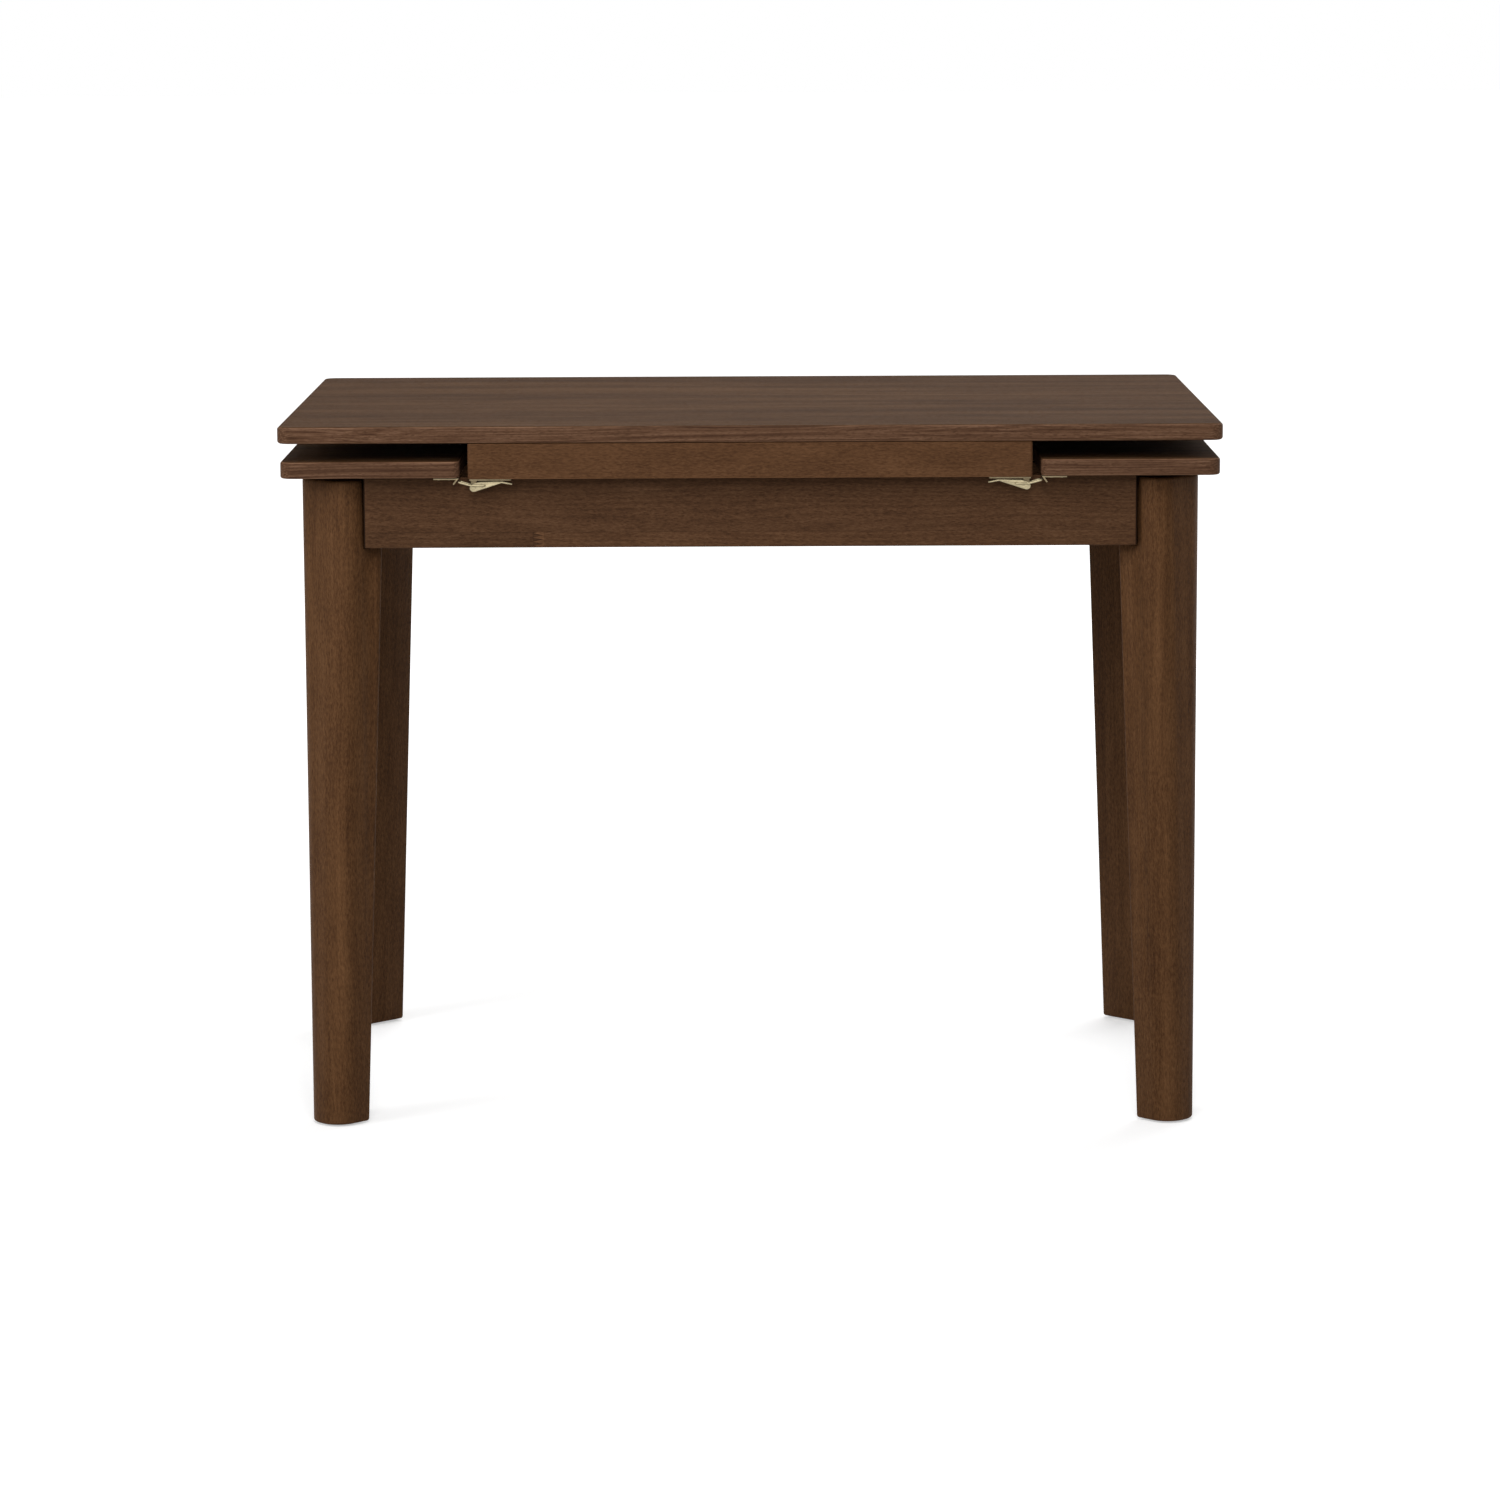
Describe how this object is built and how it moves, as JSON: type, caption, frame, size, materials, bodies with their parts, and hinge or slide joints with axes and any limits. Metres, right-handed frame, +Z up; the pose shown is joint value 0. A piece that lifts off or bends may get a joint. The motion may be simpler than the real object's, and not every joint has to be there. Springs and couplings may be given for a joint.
{
  "type": "extending dining table",
  "caption": "Rectangular dining table on tapered legs; end leaves stowed under the top draw out on sloped runners, lift level with it and are held by toggle latches.",
  "frame": {"origin": "on the floor, under the middle of the table top", "axes": "+X along the table's length, to the right seen from the front; +Y to the back; +Z up"},
  "size_m": [1, 0.65, 0.76],
  "materials": {
    "walnut": "satin walnut stain",
    "inner_wood": "matt, lightly stained",
    "latch": "yellow zinc plate",
    "steel": "bright zinc",
    "glide": "matt black"
  },
  "bodies": {
    "frame": {"leg_front_left": "walnut", "leg_front_right": "walnut", "leg_back_left": "walnut", "leg_back_right": "walnut", "glide_front_left": "glide", "glide_front_right": "glide", "glide_back_left": "glide", "glide_back_right": "glide", "apron_front": "walnut", "apron_back": "walnut", "apron_left": "walnut", "apron_right": "walnut", "corner_brace_front_left": "inner_wood", "corner_brace_front_right": "inner_wood", "corner_brace_back_left": "inner_wood", "corner_brace_back_right": "inner_wood", "leg_bolt_front_left": "steel", "leg_bolt_front_right": "steel", "leg_bolt_back_left": "steel", "leg_bolt_back_right": "steel", "centre_board_front": "walnut", "centre_board_back": "walnut", "centre_rail_left": "inner_wood", "centre_rail_right": "inner_wood", "table_top": "walnut", "runner_guide_left": "inner_wood", "runner_guide_right": "inner_wood", "latch_base_front_left": "latch", "latch_base_front_right": "latch", "latch_base_back_left": "latch", "latch_base_back_right": "latch"},
    "carriage_left": {"runner_front_left": "inner_wood", "runner_back_left": "inner_wood", "runner_tie_left": "inner_wood"},
    "leaf_left": {"leaf_left": "walnut", "lift_post_inner_front_left": "steel", "lift_post_outer_front_left": "steel", "lift_post_inner_back_left": "steel", "lift_post_outer_back_left": "steel", "latch_keeper_front_left": "latch", "latch_keeper_back_left": "latch"},
    "carriage_right": {"runner_front_right": "inner_wood", "runner_back_right": "inner_wood", "runner_tie_right": "inner_wood"},
    "leaf_right": {"leaf_right": "walnut", "lift_post_inner_front_right": "steel", "lift_post_outer_front_right": "steel", "lift_post_inner_back_right": "steel", "lift_post_outer_back_right": "steel", "latch_keeper_front_right": "latch", "latch_keeper_back_right": "latch"},
    "lever_front_left": {"latch_lever_front_left": "latch"},
    "bail_front_left": {"latch_bail_front_left": "latch"},
    "lever_front_right": {"latch_lever_front_right": "latch"},
    "bail_front_right": {"latch_bail_front_right": "latch"},
    "lever_back_left": {"latch_lever_back_left": "latch"},
    "bail_back_left": {"latch_bail_back_left": "latch"},
    "lever_back_right": {"latch_lever_back_right": "latch"},
    "bail_back_right": {"latch_bail_back_right": "latch"}
  },
  "joints": [
    {"name": "leaf_draw_left", "type": "slide", "parent": "frame", "child": "carriage_left", "axis": [-0.9954, 0, 0.0958], "range_m": [0, 0.19419]},
    {"name": "leaf_raise_left", "type": "slide", "parent": "carriage_left", "child": "leaf_left", "axis": [0, 0, 1], "range_m": [0, 0.0186]},
    {"name": "leaf_draw_right", "type": "slide", "parent": "frame", "child": "carriage_right", "axis": [0.9954, 0, 0.0958], "range_m": [0, 0.19419]},
    {"name": "leaf_raise_right", "type": "slide", "parent": "carriage_right", "child": "leaf_right", "axis": [0, 0, 1], "range_m": [0, 0.0186]},
    {"name": "latch_lever_front_left", "type": "hinge", "parent": "frame", "child": "lever_front_left", "pos_m": [-0.2925, -0.311, 0.6942], "axis": [0, 1, 0], "range_deg": [0, 130]},
    {"name": "latch_bail_front_left", "type": "hinge", "parent": "lever_front_left", "child": "bail_front_left", "pos_m": [-0.281, -0.311, 0.6968], "axis": [0, 1, 0], "range_deg": [-130, 0]},
    {"name": "latch_lever_front_right", "type": "hinge", "parent": "frame", "child": "lever_front_right", "pos_m": [0.2925, -0.311, 0.6942], "axis": [0, -1, 0], "range_deg": [0, 130]},
    {"name": "latch_bail_front_right", "type": "hinge", "parent": "lever_front_right", "child": "bail_front_right", "pos_m": [0.281, -0.311, 0.6968], "axis": [0, -1, 0], "range_deg": [-130, 0]},
    {"name": "latch_lever_back_left", "type": "hinge", "parent": "frame", "child": "lever_back_left", "pos_m": [-0.2925, 0.311, 0.6942], "axis": [0, 1, 0], "range_deg": [0, 130]},
    {"name": "latch_bail_back_left", "type": "hinge", "parent": "lever_back_left", "child": "bail_back_left", "pos_m": [-0.281, 0.311, 0.6968], "axis": [0, 1, 0], "range_deg": [-130, 0]},
    {"name": "latch_lever_back_right", "type": "hinge", "parent": "frame", "child": "lever_back_right", "pos_m": [0.2925, 0.311, 0.6942], "axis": [0, -1, 0], "range_deg": [0, 130]},
    {"name": "latch_bail_back_right", "type": "hinge", "parent": "lever_back_right", "child": "bail_back_right", "pos_m": [0.281, 0.311, 0.6968], "axis": [0, -1, 0], "range_deg": [-130, 0]}
  ],
  "couplings": [
    {"joint": "latch_bail_front_left", "follows": "latch_lever_front_left", "ratio": -1},
    {"joint": "latch_bail_front_right", "follows": "latch_lever_front_right", "ratio": -1},
    {"joint": "latch_bail_back_left", "follows": "latch_lever_back_left", "ratio": -1},
    {"joint": "latch_bail_back_right", "follows": "latch_lever_back_right", "ratio": -1}
  ]
}
